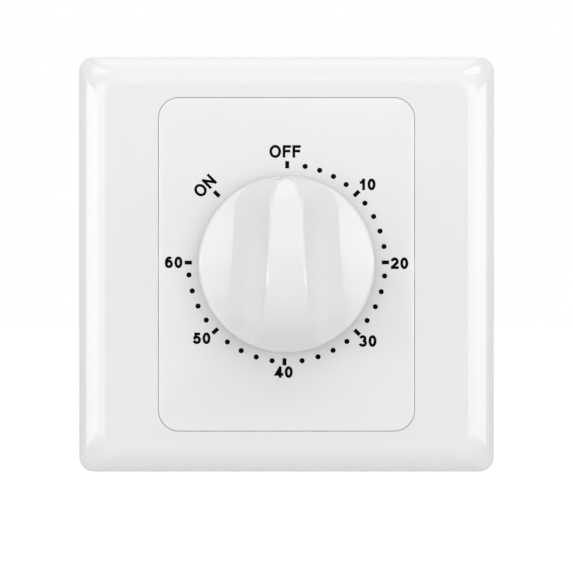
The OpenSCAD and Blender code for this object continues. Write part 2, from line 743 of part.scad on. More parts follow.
// Pointed teeth that lean the way the wheel turns
escape_deep = 1.3;
module escape_wheel() color(GREY) stand() translate([escape_at[0], escape_at[1], 0]) difference() {
    slab(escape_z - wheel_t, escape_z) polygon([for (i = [0 : escape_n - 1]) let(p = 360 / escape_n)
        each [polar(escape_r - escape_deep, p * i), polar(escape_r, p * (i + 0.25)),
            polar(escape_r, p * (i + 0.4))]]);
    rod(arbor_r, -big, big);
    for (i = [0 : 3]) rod(0.85, -big, big, polar(0.46 * escape_r, 90 * i));
}

// Escapement
pallet_span = 52;
function pallet_pin(s) = escape_at + polar(escape_r + pallet_gap + pallet_pin_r, pallet_dir + s * pallet_span);
pallet_pin_r = 0.35;
pallet_hub_r = 1.6;
// Distance from the end of the fork to the balance staff
fork_room = 5.4;
fork_l = balance_dist - fork_room;
module pallet_arbor() color(STEEL) stand() arbor(pallet_at);
module bar2d(a, b, w) let(d = b - a) translate(a) rotate(atan2(d[1], d[0])) {
    translate([0, -w / 2]) square([norm(d), w]);
    translate([norm(d), 0]) circle(w / 2);
}
module pallet_lever() color(STEEL) stand() {
    difference() {
        slab(escape_z - wheel_t, escape_z) {
            translate(pallet_at) circle(pallet_hub_r);
            for (s = [-1, 1]) bar2d(pallet_at, pallet_pin(s), 1);
            bar2d(pallet_at, pallet_at + polar(fork_l, balance_dir), 1);
        }
        rod(arbor_r, -big, big, pallet_at);
    }
    for (s = [-1, 1]) rod(pallet_pin_r, escape_z - wheel_t - 0.4, escape_z - wheel_t + eps, pallet_pin(s));
}
module balance_staff() color(STEEL) stand() {
    arbor(balance_at);
    rod(hair_in_r - 0.2, hair_z - 1, hair_z + 0.2, balance_at);
}
module balance_wheel() color(BRASS) stand() translate([balance_at[0], balance_at[1], 0]) difference() {
    slab(balance_z - wheel_t, balance_z) {
        difference() {
            circle(balance_r);
            circle(balance_r - 1.1);
        }
        circle(1.6);
        square([2 * balance_r - 1.4, 1.3], center = true);
    }
    rod(arbor_r, -big, big);
}
module hairspring() color(STEEL) stand() translate([balance_at[0], balance_at[1], 0])
    slab(hair_z - 0.8, hair_z)
    polygon(spiral(hair_in_r, hair_out_r - hair_strip, hair_turns, 270, hair_strip, round(20 * hair_turns)));
module hairspring_stud() color(BRASS) stand() rod(0.4, rear_back, hair_z + 0.5, hair_at);

// Switch
module terminal_block() color(BLACK) stand() difference() {
    translate([-block_w / 2, block_bottom, tub_floor])
        cube([block_w, term_top + 1.2 - block_bottom, block_top_z - tub_floor]);
    for (s = [-1, 1]) {
        translate([s * terminal_x - terminal_w / 2 - 0.1 - (s < 0 ? strip_t : 0), term_bottom - 0.1, term_back])
            cube([terminal_w + 0.2 + strip_t, big, big]);
        rod(entry_r, tub_floor - 1, term_back + 1, [s * terminal_x, term_y]);
        translate([s * terminal_x, block_bottom - 1, (term_back + term_front) / 2]) rotate([-90, 0, 0])
            cylinder(r = 2.9, h = 4);
        translate([s * terminal_x - 2.9, block_bottom - 1, (term_back + term_front) / 2]) cube([5.8, 4, big]);
        rod(1.2, tub_floor - 1, tub_floor + 5, [s * block_screw_x, term_y]);
    }
}
module block_screws() color(STEEL) stand() mirror([0, 0, 1]) for (s = [-1, 1])
    flat_screw([s * block_screw_x, term_y], -tub_back, 2.4, 1.2 - touch, tub_wall + 4.6);
module clamp(s) difference() {
    translate([s * terminal_x - terminal_w / 2, term_bottom, term_back])
        cube([terminal_w, terminal_h, term_front - term_back]);
    rod(wire_r, -big, big, [s * terminal_x, term_y]);
    translate([s * terminal_x, term_bottom - 1, (term_back + term_front) / 2]) rotate([-90, 0, 0])
        cylinder(r = term_screw_r, h = terminal_h / 2);
}
module line_clamp() color(BRASS) stand() clamp(-1);
module load_clamp() color(BRASS) stand() clamp(1);
module terminal_screws() color(STEEL) stand() for (s = [-1, 1])
    translate([s * terminal_x, term_bottom, (term_back + term_front) / 2]) rotate([90, 0, 0])
        pan_screw([0, 0], 0, 2.5, term_head_h, term_screw_r - touch, terminal_h / 2 - wire_r - 0.2);
module line_strip() color(COPPER) stand() {
    translate([-strip_x - strip_t, term_bottom + 1, cam_back])
        cube([strip_t, blade_top + strip_t - term_bottom - 1, cam_t]);
    translate([-strip_x - strip_t, blade_top, cam_back]) cube([tab_end + strip_x + strip_t, strip_t, cam_t]);
}
module moving_blade() color(COPPER) stand()
    translate([blade_root, blade_bottom, cam_back]) cube([contact_x + 2 - blade_root, strip_t, cam_t]);
module cam_follower() color(WHITE) stand() {
    translate([-1.3, blade_top, cam_back + 0.2]) cube([2.6, pad_h - 1.3, cam_t - 0.4]);
    rod(1.3, cam_back + 0.2, cam_top - 0.2, [0, nose_y - 1.3]);
}
module moving_rivet() color(STEEL) stand() translate([contact_x, blade_bottom, blade_mid]) rotate([90, 0, 0])
    cylinder(r = rivet_r, h = rivet_h);
module fixed_strip() color(COPPER) stand() {
    translate([strip_x, term_bottom + 1, cam_back]) cube([strip_t, fixed_top - term_bottom - 1, cam_t]);
    translate([contact_x - 2, fixed_top - strip_t, cam_back])
        cube([strip_x + strip_t - contact_x + 2, strip_t, cam_t]);
}
module fixed_rivet() color(STEEL) stand() translate([contact_x, fixed_top, blade_mid]) rotate([-90, 0, 0])
    cylinder(r = rivet_r, h = rivet_h);

outer_frame();
dial_plate();
mounting_base();
rear_tub();
flange_screws();
knob();
knob_clip();
main_shaft();
front_plate();
rear_plate();
pillars();
pillar_screws();
movement_screws();
front_bush();
rear_bush();
stop_plate();
stop_pin();
main_wheel();
clutch_spring();
clutch_collar();
mainspring();
spring_post();
second_pinion();
second_wheel();
third_pinion();
third_wheel();
escape_pinion();
escape_wheel();
pallet_arbor();
pallet_lever();
balance_staff();
balance_wheel();
hairspring();
hairspring_stud();
switch_cam();
terminal_block();
block_screws();
line_clamp();
load_clamp();
terminal_screws();
line_strip();
moving_blade();
cam_follower();
moving_rivet();
fixed_strip();
fixed_rivet();
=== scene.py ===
import math

import bmesh
import bpy
from mathutils import Matrix, Vector


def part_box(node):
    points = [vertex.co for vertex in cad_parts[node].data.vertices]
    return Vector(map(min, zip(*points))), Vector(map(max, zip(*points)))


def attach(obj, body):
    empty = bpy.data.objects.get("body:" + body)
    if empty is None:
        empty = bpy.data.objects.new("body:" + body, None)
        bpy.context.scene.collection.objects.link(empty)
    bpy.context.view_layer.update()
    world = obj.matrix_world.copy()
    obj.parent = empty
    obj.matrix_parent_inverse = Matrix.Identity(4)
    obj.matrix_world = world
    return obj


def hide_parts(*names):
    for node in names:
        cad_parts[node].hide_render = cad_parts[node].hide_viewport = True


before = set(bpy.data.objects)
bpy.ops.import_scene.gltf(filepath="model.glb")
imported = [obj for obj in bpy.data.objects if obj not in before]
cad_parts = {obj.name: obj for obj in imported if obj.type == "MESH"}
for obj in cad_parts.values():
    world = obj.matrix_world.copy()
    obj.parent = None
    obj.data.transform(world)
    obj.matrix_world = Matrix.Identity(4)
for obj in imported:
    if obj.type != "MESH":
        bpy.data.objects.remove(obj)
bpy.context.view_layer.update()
scene = bpy.context.scene
mm = 0.001

# Camera
# The photograph looks straight at the front through a long lens, with the switch a little above the
# middle of the picture. The width of the cover frame sets the scale.
photo_px = 573
cover_px = 416
view_drop = 4.58 * mm
lens_mm = 500
sensor_mm = 36
cover_lo, cover_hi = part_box("outer_frame")
cover_side = cover_hi.x - cover_lo.x
view_side = cover_side * photo_px / cover_px
camera_data = bpy.data.cameras.new("camera")
camera_data.lens = lens_mm
camera_data.sensor_width = sensor_mm
camera = bpy.data.objects.new("camera", camera_data)
camera.location = (0, cover_lo.y - view_side * lens_mm / sensor_mm, -view_drop)
camera.rotation_euler = (math.pi / 2, 0, 0)
scene.collection.objects.link(camera)
scene.camera = camera

# Studio light
# A near and a far soft box at either side, at the height of the switch, give the rolled edges and the
# knob their bright bands. Softer boxes above fill in, and nothing shines from below.
scene.view_settings.view_transform = "Standard"


def soft_box(name, azimuth, elevation, width, height, radiance):
    """A flat lamp a metre from the switch, turned towards it: angles in degrees, sizes in metres."""
    lamp = bpy.data.lights.new(name, "AREA")
    lamp.shape = "RECTANGLE"
    lamp.size = width
    lamp.size_y = height
    lamp.energy = radiance * math.pi * width * height
    turn = math.radians(azimuth)
    lift = math.radians(elevation)
    out = Vector((math.sin(turn) * math.cos(lift), -math.cos(turn) * math.cos(lift), math.sin(lift)))
    box = bpy.data.objects.new(name, lamp)
    box.location = out
    box.rotation_euler = out.to_track_quat("Z", "Y").to_euler()
    box.visible_camera = False
    scene.collection.objects.link(box)


soft_box("near_left", azimuth=-26, elevation=2, width=0.425, height=0.536, radiance=1.1)
soft_box("far_left", azimuth=-61, elevation=1, width=0.85, height=0.2, radiance=2.15)
soft_box("near_right", azimuth=26, elevation=2, width=0.425, height=0.536, radiance=1.3)
soft_box("far_right", azimuth=61, elevation=1, width=0.85, height=0.2, radiance=1.9)
soft_box("overhead", azimuth=0, elevation=95, width=0.3, height=0.46, radiance=1.11)
soft_box("top_front", azimuth=0, elevation=71, width=0.3, height=0.39, radiance=0.65)
soft_box("high_left", azimuth=-35, elevation=45, width=0.5, height=0.4, radiance=1.25)
soft_box("high_right", azimuth=35, elevation=45, width=0.5, height=0.4, radiance=1.6)
soft_box("high_middle", azimuth=0, elevation=46, width=0.3, height=0.4, radiance=0.4)
soft_box("front", azimuth=0, elevation=24, width=0.5, height=0.4, radiance=0.5)
soft_box("upper_left", azimuth=-26, elevation=24, width=0.425, height=0.25, radiance=0.15)
soft_box("upper_right", azimuth=26, elevation=24, width=0.425, height=0.25, radiance=0.5)
soft_box("above_wall", azimuth=0, elevation=118, width=0.4, height=0.4, radiance=0.55)

# Surroundings and floor
# A white room that the camera and the reflections see as plain white, and a pale floor under the switch
# that keeps its shadow and glows to white away from it.
ambient_light = 0.56
world = bpy.data.worlds.new("white_room")
scene.world = world
world.use_nodes = True
tree = world.node_tree
tree.nodes.clear()
path = tree.nodes.new("ShaderNodeLightPath")
seen = tree.nodes.new("ShaderNodeMath")
seen.operation = "MAXIMUM"
shown = tree.nodes.new("ShaderNodeMath")
shown.operation = "MAXIMUM"
room = tree.nodes.new("ShaderNodeBackground")
room.inputs["Color"].default_value = (1, 1, 1, 1)
room.inputs["Strength"].default_value = ambient_light
white = tree.nodes.new("ShaderNodeBackground")
white.inputs["Color"].default_value = (1, 1, 1, 1)
mix = tree.nodes.new("ShaderNodeMixShader")
out = tree.nodes.new("ShaderNodeOutputWorld")
tree.links.new(path.outputs["Is Camera Ray"], seen.inputs[0])
tree.links.new(path.outputs["Is Glossy Ray"], seen.inputs[1])
tree.links.new(seen.outputs[0], shown.inputs[0])
tree.links.new(path.outputs["Is Transmission Ray"], shown.inputs[1])
tree.links.new(shown.outputs[0], mix.inputs[0])
tree.links.new(room.outputs[0], mix.inputs[1])
tree.links.new(white.outputs[0], mix.inputs[2])
tree.links.new(mix.outputs[0], out.inputs[0])

floor_z = -0.16
floor_side = 60
floor_paint = 0.9
glow_near = 0.4
fade_from = 0.3
fade_to = 0.9
bm = bmesh.new()
bmesh.ops.create_grid(bm, x_segments=1, y_segments=1, size=floor_side / 2)
bmesh.ops.translate(bm, verts=bm.verts, vec=(0, 0, floor_z))
mesh = bpy.data.meshes.new("floor")
bm.to_mesh(mesh)
bm.free()
floor = bpy.data.objects.new("floor", mesh)
scene.collection.objects.link(floor)
floor_white = bpy.data.materials.new("floor_white")
floor_white.use_nodes = True
tree = floor_white.node_tree
tree.nodes.clear()
path = tree.nodes.new("ShaderNodeLightPath")
paint = tree.nodes.new("ShaderNodeBsdfDiffuse")
paint.inputs["Color"].default_value = (floor_paint, floor_paint, floor_paint, 1)
glow = tree.nodes.new("ShaderNodeEmission")
add = tree.nodes.new("ShaderNodeAddShader")
mix = tree.nodes.new("ShaderNodeMixShader")
out = tree.nodes.new("ShaderNodeOutputMaterial")
tree.links.new(path.outputs["Is Camera Ray"], mix.inputs[0])
tree.links.new(paint.outputs[0], add.inputs[0])
tree.links.new(glow.outputs[0], add.inputs[1])
tree.links.new(paint.outputs[0], mix.inputs[1])
tree.links.new(add.outputs[0], mix.inputs[2])
tree.links.new(mix.outputs[0], out.inputs[0])
place = tree.nodes.new("ShaderNodeTexCoord")
away = tree.nodes.new("ShaderNodeVectorMath")
away.operation = "LENGTH"
fade = tree.nodes.new("ShaderNodeMapRange")
fade.inputs["From Min"].default_value = fade_from
fade.inputs["From Max"].default_value = fade_to
fade.inputs["To Min"].default_value = glow_near
fade.inputs["To Max"].default_value = 1
tree.links.new(place.outputs["Object"], away.inputs[0])
tree.links.new(away.outputs["Value"], fade.inputs["Value"])
tree.links.new(fade.outputs["Result"], glow.inputs["Strength"])
mesh.materials.append(floor_white)

# Rear tub
# The deep box at the back goes into the wall. It is moulded in light grey plastic with a fine spark
# texture, hangs by its flange on the mounting base and is held there by four countersunk screws.
plastic_ior = 1.6
clouds_per_metre = 180
clouding = 0.006
gloss_spread = 0.05
grain_strength = 0.5


def moulded_plastic(name, colour, roughness, grain, depth):
    """A moulded plastic: slight clouding of the colour, uneven gloss and a fine surface grain."""
    plastic = bpy.data.materials.new(name)
    plastic.use_nodes = True
    tree = plastic.node_tree
    shader = tree.nodes["Principled BSDF"]
    shader.inputs["IOR"].default_value = plastic_ior
    place = tree.nodes.new("ShaderNodeTexCoord")
    cloud = tree.nodes.new("ShaderNodeTexNoise")
    cloud.inputs["Scale"].default_value = clouds_per_metre
    cloud.inputs["Detail"].default_value = 4
    tint = tree.nodes.new("ShaderNodeMix")
    tint.data_type = "RGBA"
    tint.inputs["A"].default_value = (*[c * (1 - clouding) for c in colour], 1)
    tint.inputs["B"].default_value = (*[c * (1 + clouding) for c in colour], 1)
    sheen = tree.nodes.new("ShaderNodeMapRange")
    sheen.inputs["To Min"].default_value = roughness * (1 - gloss_spread)
    sheen.inputs["To Max"].default_value = roughness * (1 + gloss_spread)
    skin = tree.nodes.new("ShaderNodeTexNoise")
    skin.inputs["Scale"].default_value = 1 / grain
    skin.inputs["Detail"].default_value = 2
    bump = tree.nodes.new("ShaderNodeBump")
    bump.inputs["Strength"].default_value = grain_strength
    bump.inputs["Distance"].default_value = depth
    tree.links.new(place.outputs["Object"], cloud.inputs["Vector"])
    tree.links.new(place.outputs["Object"], skin.inputs["Vector"])
    tree.links.new(cloud.outputs["Fac"], tint.inputs["Factor"])
    tree.links.new(cloud.outputs["Fac"], sheen.inputs["Value"])
    tree.links.new(tint.outputs["Result"], shader.inputs["Base Color"])
    tree.links.new(sheen.outputs["Result"], shader.inputs["Roughness"])
    tree.links.new(skin.outputs["Fac"], bump.inputs["Height"])
    tree.links.new(bump.outputs["Normal"], shader.inputs["Normal"])
    return plastic


def dress(names, material):
    """Gives CAD nodes their finish."""
    for name in names:
        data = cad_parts[name].data
        data.materials.clear()
        data.materials.append(material)


tub_grey = moulded_plastic("tub_grey", (0.66, 0.67, 0.67), roughness=0.5, grain=0.35 * mm, depth=0.03 * mm)
dress(["rear_tub"], tub_grey)

# Terminal block
# A dark phenolic block screwed to the floor of the tub. Two brass clamps stand in its pockets and take
# the wires from the back, and the terminal screws are reached through the lower wall of the tub.
lines_per_metre = 900
stains_per_metre = 160
stain_tone = 0.82
line_polish = 0.75
line_dullness = 1.3


def metal(name, colour, roughness, stretch):
    """A bright metal with fine lines from rolling or turning and slight tarnish."""
    finish = bpy.data.materials.new(name)
    finish.use_nodes = True
    tree = finish.node_tree
    shader = tree.nodes["Principled BSDF"]
    shader.inputs["Metallic"].default_value = 1
    place = tree.nodes.new("ShaderNodeTexCoord")
    turn = tree.nodes.new("ShaderNodeMapping")
    turn.inputs["Scale"].default_value = stretch
    lines = tree.nodes.new("ShaderNodeTexNoise")
    lines.inputs["Scale"].default_value = lines_per_metre
    lines.inputs["Detail"].default_value = 3
    tarnish = tree.nodes.new("ShaderNodeTexNoise")
    tarnish.inputs["Scale"].default_value = stains_per_metre
    tone = tree.nodes.new("ShaderNodeMix")
    tone.data_type = "RGBA"
    tone.inputs["A"].default_value = (*[c * stain_tone for c in colour], 1)
    tone.inputs["B"].default_value = (*colour, 1)
    polish = tree.nodes.new("ShaderNodeMapRange")
    polish.inputs["To Min"].default_value = roughness * line_polish
    polish.inputs["To Max"].default_value = roughness * line_dullness
    tree.links.new(place.outputs["Object"], turn.inputs["Vector"])
    tree.links.new(turn.outputs["Vector"], lines.inputs["Vector"])
    tree.links.new(place.outputs["Object"], tarnish.inputs["Vector"])
    tree.links.new(tarnish.outputs["Fac"], tone.inputs["Factor"])
    tree.links.new(lines.outputs["Fac"], polish.inputs["Value"])
    tree.links.new(tone.outputs["Result"], shader.inputs["Base Color"])
    tree.links.new(polish.outputs["Result"], shader.inputs["Roughness"])
    return finish


phenolic = moulded_plastic("phenolic", (0.035, 0.034, 0.036), roughness=0.38, grain=0.5 * mm,
                           depth=0.02 * mm)
brass = metal("brass", (0.76, 0.56, 0.27), roughness=0.26, stretch=(1, 1, 6))
bright_steel = metal("bright_steel", (0.62, 0.63, 0.65), roughness=0.28, stretch=(5, 1, 1))
dress(["terminal_block"], phenolic)
dress(["line_clamp", "load_clamp"], brass)
dress(["block_screws", "terminal_screws", "flange_screws"], bright_steel)

# Contact set
# Strips of spring copper alloy carry the current from clamp to clamp. The moving blade has an acetal
# follower that rides on the cam, and both contacts are silver rivets.
copper = metal("copper", (0.74, 0.4, 0.26), roughness=0.3, stretch=(1, 6, 1))
silver = metal("silver", (0.82, 0.82, 0.8), roughness=0.2, stretch=(1, 1, 1))
acetal = moulded_plastic("acetal", (0.78, 0.78, 0.74), roughness=0.42, grain=0.6 * mm, depth=0.01 * mm)
dress(["line_strip", "moving_blade", "fixed_strip"], copper)
dress(["moving_rivet", "fixed_rivet"], silver)
dress(["cam_follower", "switch_cam"], acetal)

# Clockwork
# Two stamped brass plates on steel pillars carry the mainspring, the train and the escapement. The
# light wheels at the fast end are acetal, the others brass, and all arbors are steel.
dress(["front_plate", "rear_plate", "front_bush", "rear_bush"], brass)
dress(["main_wheel", "second_wheel", "clutch_collar", "balance_wheel", "hairspring_stud"], brass)
dress(["third_wheel", "escape_wheel"], acetal)
dress(["pillars", "pillar_screws", "movement_screws"], bright_steel)
dress(["main_shaft", "stop_plate", "stop_pin"], bright_steel)
dress(["second_pinion", "third_pinion", "escape_pinion", "pallet_arbor", "pallet_lever"], bright_steel)
spring_steel = metal("spring_steel", (0.3, 0.34, 0.42), roughness=0.3, stretch=(1, 8, 1))
dress(["clutch_spring", "mainspring", "spring_post"], spring_steel)
dress(["balance_staff", "hairspring", "knob_clip"], spring_steel)

# Mounting base
# The plate that is screwed to the wall box through two slots. It is moulded in white plastic, and the
# dial plate and the cover frame snap into it.
base_white = moulded_plastic("base_white", (0.8, 0.8, 0.8), roughness=0.45, grain=0.5 * mm, depth=0.02 * mm)
dress(["mounting_base"], base_white)


# Dial plate
# The upright panel in the middle carries the printed scale. It is moulded in glossy white plastic with
# a small fillet round its face, and a skirt behind it stands on the mounting base.
def rounded_block(width, depth, height, corner, front_y):
    """A block behind the plane front_y, with its four edges along y rounded."""
    bm = bmesh.new()
    bmesh.ops.create_cube(bm, size=1)
    bmesh.ops.scale(bm, verts=bm.verts, vec=(width, depth, height))
    bmesh.ops.translate(bm, verts=bm.verts, vec=(0, front_y + depth / 2, 0))
    along_y = [e for e in bm.edges if abs(e.verts[0].co.y - e.verts[1].co.y) > depth / 2]
    bmesh.ops.bevel(bm, geom=along_y, offset=corner, segments=12, profile=0.5, affect="EDGES", material=-1)
    return bm


def place_piece(bm, name, material, body, nodes=(), crease=32):
    """Turns a bmesh into a piece of the switch, smooth up to the crease angle."""
    bmesh.ops.recalc_face_normals(bm, faces=bm.faces)
    mesh = bpy.data.meshes.new(name)
    bm.to_mesh(mesh)
    bm.free()
    mesh.shade_smooth()
    mesh.set_sharp_from_angle(angle=math.radians(crease))
    mesh.materials.append(material)
    piece = bpy.data.objects.new(name, mesh)
    scene.collection.objects.link(piece)
    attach(piece, body)
    if nodes:
        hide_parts(*nodes)
    return piece


def carve(piece, cutter):
    """Takes the volume of a cutter out of a piece, and removes the cutter."""
    mesh = bpy.data.meshes.new("cutter")
    bmesh.ops.recalc_face_normals(cutter, faces=cutter.faces)
    cutter.to_mesh(mesh)
    cutter.free()
    tool = bpy.data.objects.new("cutter", mesh)
    scene.collection.objects.link(tool)
    cut = piece.modifiers.new("cut", "BOOLEAN")
    cut.operation = "DIFFERENCE"
    cut.solver = "EXACT"
    cut.object = tool
    bpy.context.view_layer.update()
    graph = bpy.context.evaluated_depsgraph_get()
    result = bpy.data.meshes.new_from_object(piece.evaluated_get(graph))
    piece.modifiers.clear()
    piece.data = result
    bpy.data.objects.remove(tool)


def add_block(bm, low, high):
    """A plain block between two corners."""
    made = bmesh.ops.create_cube(bm, size=1)["verts"]
    bmesh.ops.scale(bm, verts=made, vec=Vector(high) - Vector(low))
    bmesh.ops.translate(bm, verts=made, vec=(Vector(low) + Vector(high)) / 2)
    return made


def add_ring(bm, inner, outer, y0, y1, at=(0, 0)):
    """A round sleeve along y."""
    ends = [(inner, y0), (outer, y0), (outer, y1), (inner, y1)]
    line = [bm.verts.new((at[0] + r, y, at[1])) for r, y in ends]
    edges = [bm.edges.new((line[i], line[i - 1])) for i in range(4)]
    bmesh.ops.spin(bm, geom=line + edges, cent=(at[0], 0, at[1]), axis=(0, 1, 0), angle=2 * math.pi,
                   steps=48, use_merge=True)


barb_l = 1 * mm
barb_lead = 0.9


def add_hook(bm, middle, width, low, high, end_y, root_y, barb):
    """A flat tongue between two heights; a barb at its end stands up, or down where it is negative."""
    left = middle - width / 2
    right = middle + width / 2
    add_block(bm, (left, root_y, low), (right, end_y, high))
    edge = high if barb > 0 else low
    tip = edge + barb
    made = add_block(bm, (left, end_y - barb_l, min(edge, tip)), (right, end_y, max(edge, tip)))
    for vert in made:
        if vert.co.y > end_y - barb_l / 2 and abs(vert.co.z - tip) < abs(barb) / 2:
            vert.co.z -= barb_lead * barb


def add_to(piece, extra, crease=32):
    """Joins further forms to a piece."""
    bmesh.ops.recalc_face_normals(extra, faces=extra.faces)
    mesh = bpy.data.meshes.new("extra")
    extra.to_mesh(mesh)
    extra.clear()
    extra.from_mesh(piece.data)
    extra.from_mesh(mesh)
    extra.to_mesh(piece.data)
    extra.free()
    bpy.data.meshes.remove(mesh)
    piece.data.shade_smooth()
    piece.data.set_sharp_from_angle(angle=math.radians(crease))


gloss_ior = 1.75
cover_white = moulded_plastic("cover_white", (0.8, 0.8, 0.81), roughness=0.12, grain=0.9 * mm,
                              depth=0.002 * mm)
cover_white.node_tree.nodes["Principled BSDF"].inputs["IOR"].default_value = gloss_ior
dial_lo, dial_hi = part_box("dial_plate")
dial_w = dial_hi.x - dial_lo.x
dial_l = 69 * mm
dial_corner = 4.3 * mm
dial_fillet = 0.35 * mm
dial_wall = 2 * mm
skirt_depth = 5 * mm
skirt_wall = 1.6 * mm
shaft_hole = 4.2 * mm
face_y = dial_lo.y
bm = rounded_block(dial_w, skirt_depth, dial_l, dial_corner, face_y)
front = [f for f in bm.faces if f.normal.y < -0.9]
rim = [e for f in front for e in f.edges]
bmesh.ops.bevel(bm, geom=rim, offset=dial_fillet, segments=4, profile=0.5, affect="EDGES", material=-1)
back = [f for f in bm.faces if f.normal.y > 0.9]
bmesh.ops.inset_region(bm, faces=back, thickness=skirt_wall, use_even_offset=True)
hollow = bmesh.ops.extrude_face_region(bm, geom=back)["geom"]
bmesh.ops.delete(bm, geom=back, context="FACES_KEEP_BOUNDARY")
deep = [g for g in hollow if isinstance(g, bmesh.types.BMVert)]
bmesh.ops.translate(bm, verts=deep, vec=(0, dial_wall - skirt_depth, 0))
dial = place_piece(bm, "dial_panel", cover_white, "base", ["dial_plate"])
bm = bmesh.new()
bmesh.ops.create_cone(bm, cap_ends=True, segments=64, radius1=shaft_hole, radius2=shaft_hole,
                      depth=4 * dial_wall)
bmesh.ops.rotate(bm, verts=bm.verts, matrix=Matrix.Rotation(math.pi / 2, 3, "X"))
bmesh.ops.translate(bm, verts=bm.verts, vec=(0, face_y, 0))
carve(dial, bm)
# Sleeve round the shaft, two bosses for the movement and two legs that hook into the base
sleeve_l = 1.2 * mm
root_in = 0.1 * mm
leg_w = 9 * mm
leg_end = -0.4 * mm
leg_barb = 0.8 * mm
boss_x = 18 * mm
boss_r = 3 * mm
boss_bore = 1.45 * mm
boss_end = -1 * mm
wall_y = face_y + dial_wall
bm = bmesh.new()
add_ring(bm, shaft_hole, shaft_hole + skirt_wall, wall_y - root_in, wall_y + sleeve_l)
for side in (-1, 1):
    add_ring(bm, boss_bore, boss_r, wall_y - root_in, boss_end, (side * boss_x, 0))
    reach = sorted((side * dial_l / 2, side * (dial_l / 2 - skirt_wall)))
    add_hook(bm, 0, leg_w, *reach, leg_end, face_y + skirt_depth - root_in, side * leg_barb)
add_to(dial, bm)

# Printed scale
# Sixty minutes in black ink round the knob: a bar at every tenth minute and at ON and OFF, dots between
# them, and the numbers. The ink lies on the dial plate.
ink = moulded_plastic("ink", (0.003, 0.003, 0.0035), roughness=0.5, grain=0.2 * mm, depth=0.004 * mm)
ink_ior = 1.08
ink.node_tree.nodes["Principled BSDF"].inputs["IOR"].default_value = ink_ior
ink_t = 0.05 * mm
scale_at = (0.07 * mm, 0.22 * mm)
scale_r = 20.38 * mm
bar_size = (0.8 * mm, 1.5 * mm)
dot_r = 0.54 * mm
bar_angles = (-45.3, 0.2, 45, 89.5, 134.5, 181.4, 226.6, 270.4)
# First and last of the four dots after OFF, 10, 20, 30, 40 and 50, in degrees
dot_spans = ((10.7, 37), (52.4, 80.2), (97.4, 125.5), (142.5, 171.1), (188.6, 217.1), (234.8, 263.2))
dots_each = 4


def on_ring(angle):
    """A place on the ring of the scale, turned to it, by the angle clockwise from the top."""
    turn = Matrix.Rotation(math.radians(angle), 4, "Y")
    middle = Matrix.Translation((scale_at[0], face_y, scale_at[1]))
    return middle @ turn @ Matrix.Translation((0, 0, scale_r))


bm = bmesh.new()
for angle in bar_angles:
    made = bmesh.ops.create_cube(bm, size=1)["verts"]
    bmesh.ops.scale(bm, verts=made, vec=(bar_size[0], ink_t, bar_size[1]))
    bmesh.ops.transform(bm, verts=made, matrix=on_ring(angle))
for first, last in dot_spans:
    for i in range(dots_each):
        angle = first + (last - first) * i / (dots_each - 1)
        made = bmesh.ops.create_cone(bm, cap_ends=True, segments=24, radius1=dot_r, radius2=dot_r,
                                     depth=ink_t)["verts"]
        bmesh.ops.rotate(bm, verts=made, matrix=Matrix.Rotation(math.pi / 2, 3, "X"))
        bmesh.ops.transform(bm, verts=made, matrix=on_ring(angle))
place_piece(bm, "scale_marks", ink, "base")


def arc(at, size, start, end, steps=14):
    """Points of an arc of an ellipse, by angles from the right, anticlockwise."""
    turns = [math.radians(start + (end - start) * i / steps) for i in range(steps + 1)]
    return [(at[0] + size[0] * math.cos(t), at[1] + size[1] * math.sin(t)) for t in turns]


# Strokes of the letters in a box of one by one, and the width of each letter in parts of its height
strokes = {
    "O": (0.93, [arc((0.5, 0.5), (0.5, 0.53), 90, 450, 40)]),
    "F": (0.66, [[(0, 0), (0, 1), (1, 1)], [(0, 0.53), (0.9, 0.53)]]),
    "N": (0.8, [[(0, 0), (0, 1)], [(0.04, 0.96), (0.96, 0.04)], [(1, 0), (1, 1)]]),
    "0": (0.7, [arc((0.5, 0.5), (0.5, 0.52), 90, 450, 40)]),
    "1": (0.56, [[(0.7, 0), (0.7, 1)], [(0.05, 0.74), (0.4, 0.8), (0.66, 0.98)]]),
    "2": (0.7, [arc((0.48, 0.7), (0.5, 0.32), 175, -25) + [(0.55, 0.36), (0.16, 0.12), (0.04, 0)],
                [(0, 0), (1, 0)]]),
    "3": (0.7, [arc((0.46, 0.75), (0.44, 0.27), 168, -90), arc((0.46, 0.26), (0.54, 0.28), 90, -168)]),
    "4": (0.74, [[(0.7, 0), (0.7, 1)], [(0.66, 0.96), (0, 0.24), (1, 0.24)]]),
    "5": (0.7, [[(1.1, 1), (0.2, 1), (0.08, 0.46)] + arc((0.46, 0.31), (0.54, 0.33), 140, -165)]),
    "6": (0.7, [arc((0.5, 0.31), (0.5, 0.33), 0, 360, 30), arc((0.58, 0.5), (0.58, 0.52), 55, 200)]),
}
letter_gap = 0.13
mitre_limit = 0.5
seam = 0.0001
word_cap = 2.58 * mm
word_weight = 0.215
number_cap = 2.36 * mm
number_weight = 0.245
